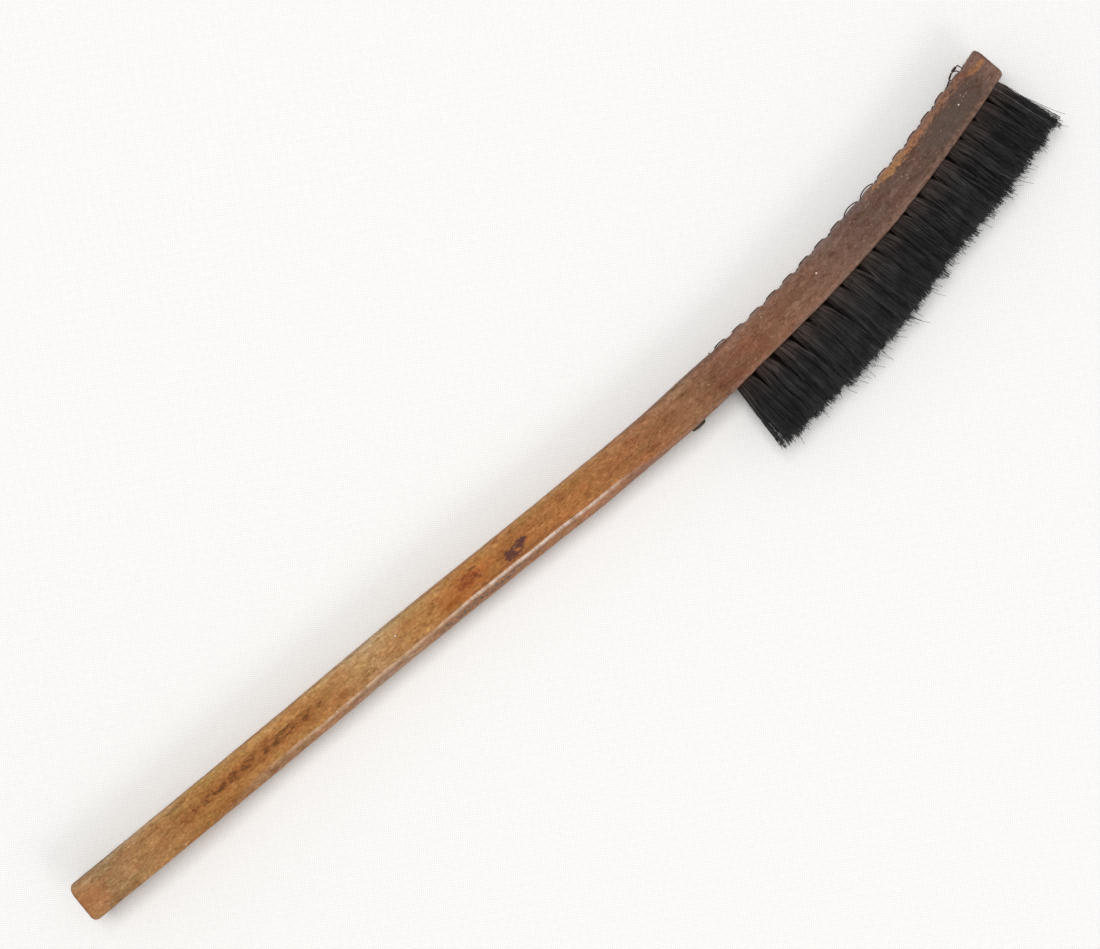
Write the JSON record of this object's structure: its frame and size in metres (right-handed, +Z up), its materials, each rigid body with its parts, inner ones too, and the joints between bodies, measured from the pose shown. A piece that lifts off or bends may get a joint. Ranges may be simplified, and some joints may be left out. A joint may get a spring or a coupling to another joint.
{
  "type": "wire-drawn hand brush",
  "caption": "Long-handled wooden hand brush: straight chamfered grip, gently curved head, black hair tufts drawn in by wire laced along the back.",
  "frame": {"origin": "on the flat side that the brush rests on, on the centreline of the stock, where the straight handle runs into the curved head", "axes": "+X along the straight handle towards the head, +Y towards the back of the stock, away from the bristles, +Z up through the thickness, away from the resting side"},
  "size_m": [0.3287, 0.048, 0.0127],
  "materials": {
    "wood_stock": "worn shellac over oak-like wood, honey brown on the grip and dark red-brown on the head, polished by handling",
    "black_hair": "fine black bristle hair with a slight sheen",
    "drawing_wire": "thin dark tarnished wire",
    "pin_iron": "dark oxidised iron"
  },
  "bodies": {
    "root": {"stock": "wood_stock", "drawing_wire_upper": "drawing_wire", "drawing_wire_lower": "drawing_wire", "anchor_pin": "pin_iron", "tuft_upper_01": "black_hair", "tuft_upper_02": "black_hair", "tuft_upper_03": "black_hair", "tuft_upper_04": "black_hair", "tuft_upper_05": "black_hair", "tuft_upper_06": "black_hair", "tuft_upper_07": "black_hair", "tuft_upper_08": "black_hair", "tuft_upper_09": "black_hair", "tuft_upper_10": "black_hair", "tuft_upper_11": "black_hair", "tuft_upper_12": "black_hair", "tuft_upper_13": "black_hair", "tuft_upper_14": "black_hair", "tuft_upper_15": "black_hair", "tuft_upper_16": "black_hair", "tuft_upper_17": "black_hair", "tuft_lower_01": "black_hair", "tuft_lower_02": "black_hair", "tuft_lower_03": "black_hair", "tuft_lower_04": "black_hair", "tuft_lower_05": "black_hair", "tuft_lower_06": "black_hair", "tuft_lower_07": "black_hair", "tuft_lower_08": "black_hair", "tuft_lower_09": "black_hair", "tuft_lower_10": "black_hair", "tuft_lower_11": "black_hair", "tuft_lower_12": "black_hair", "tuft_lower_13": "black_hair", "tuft_lower_14": "black_hair", "tuft_lower_15": "black_hair", "tuft_lower_16": "black_hair"}
  },
  "joints": []
}
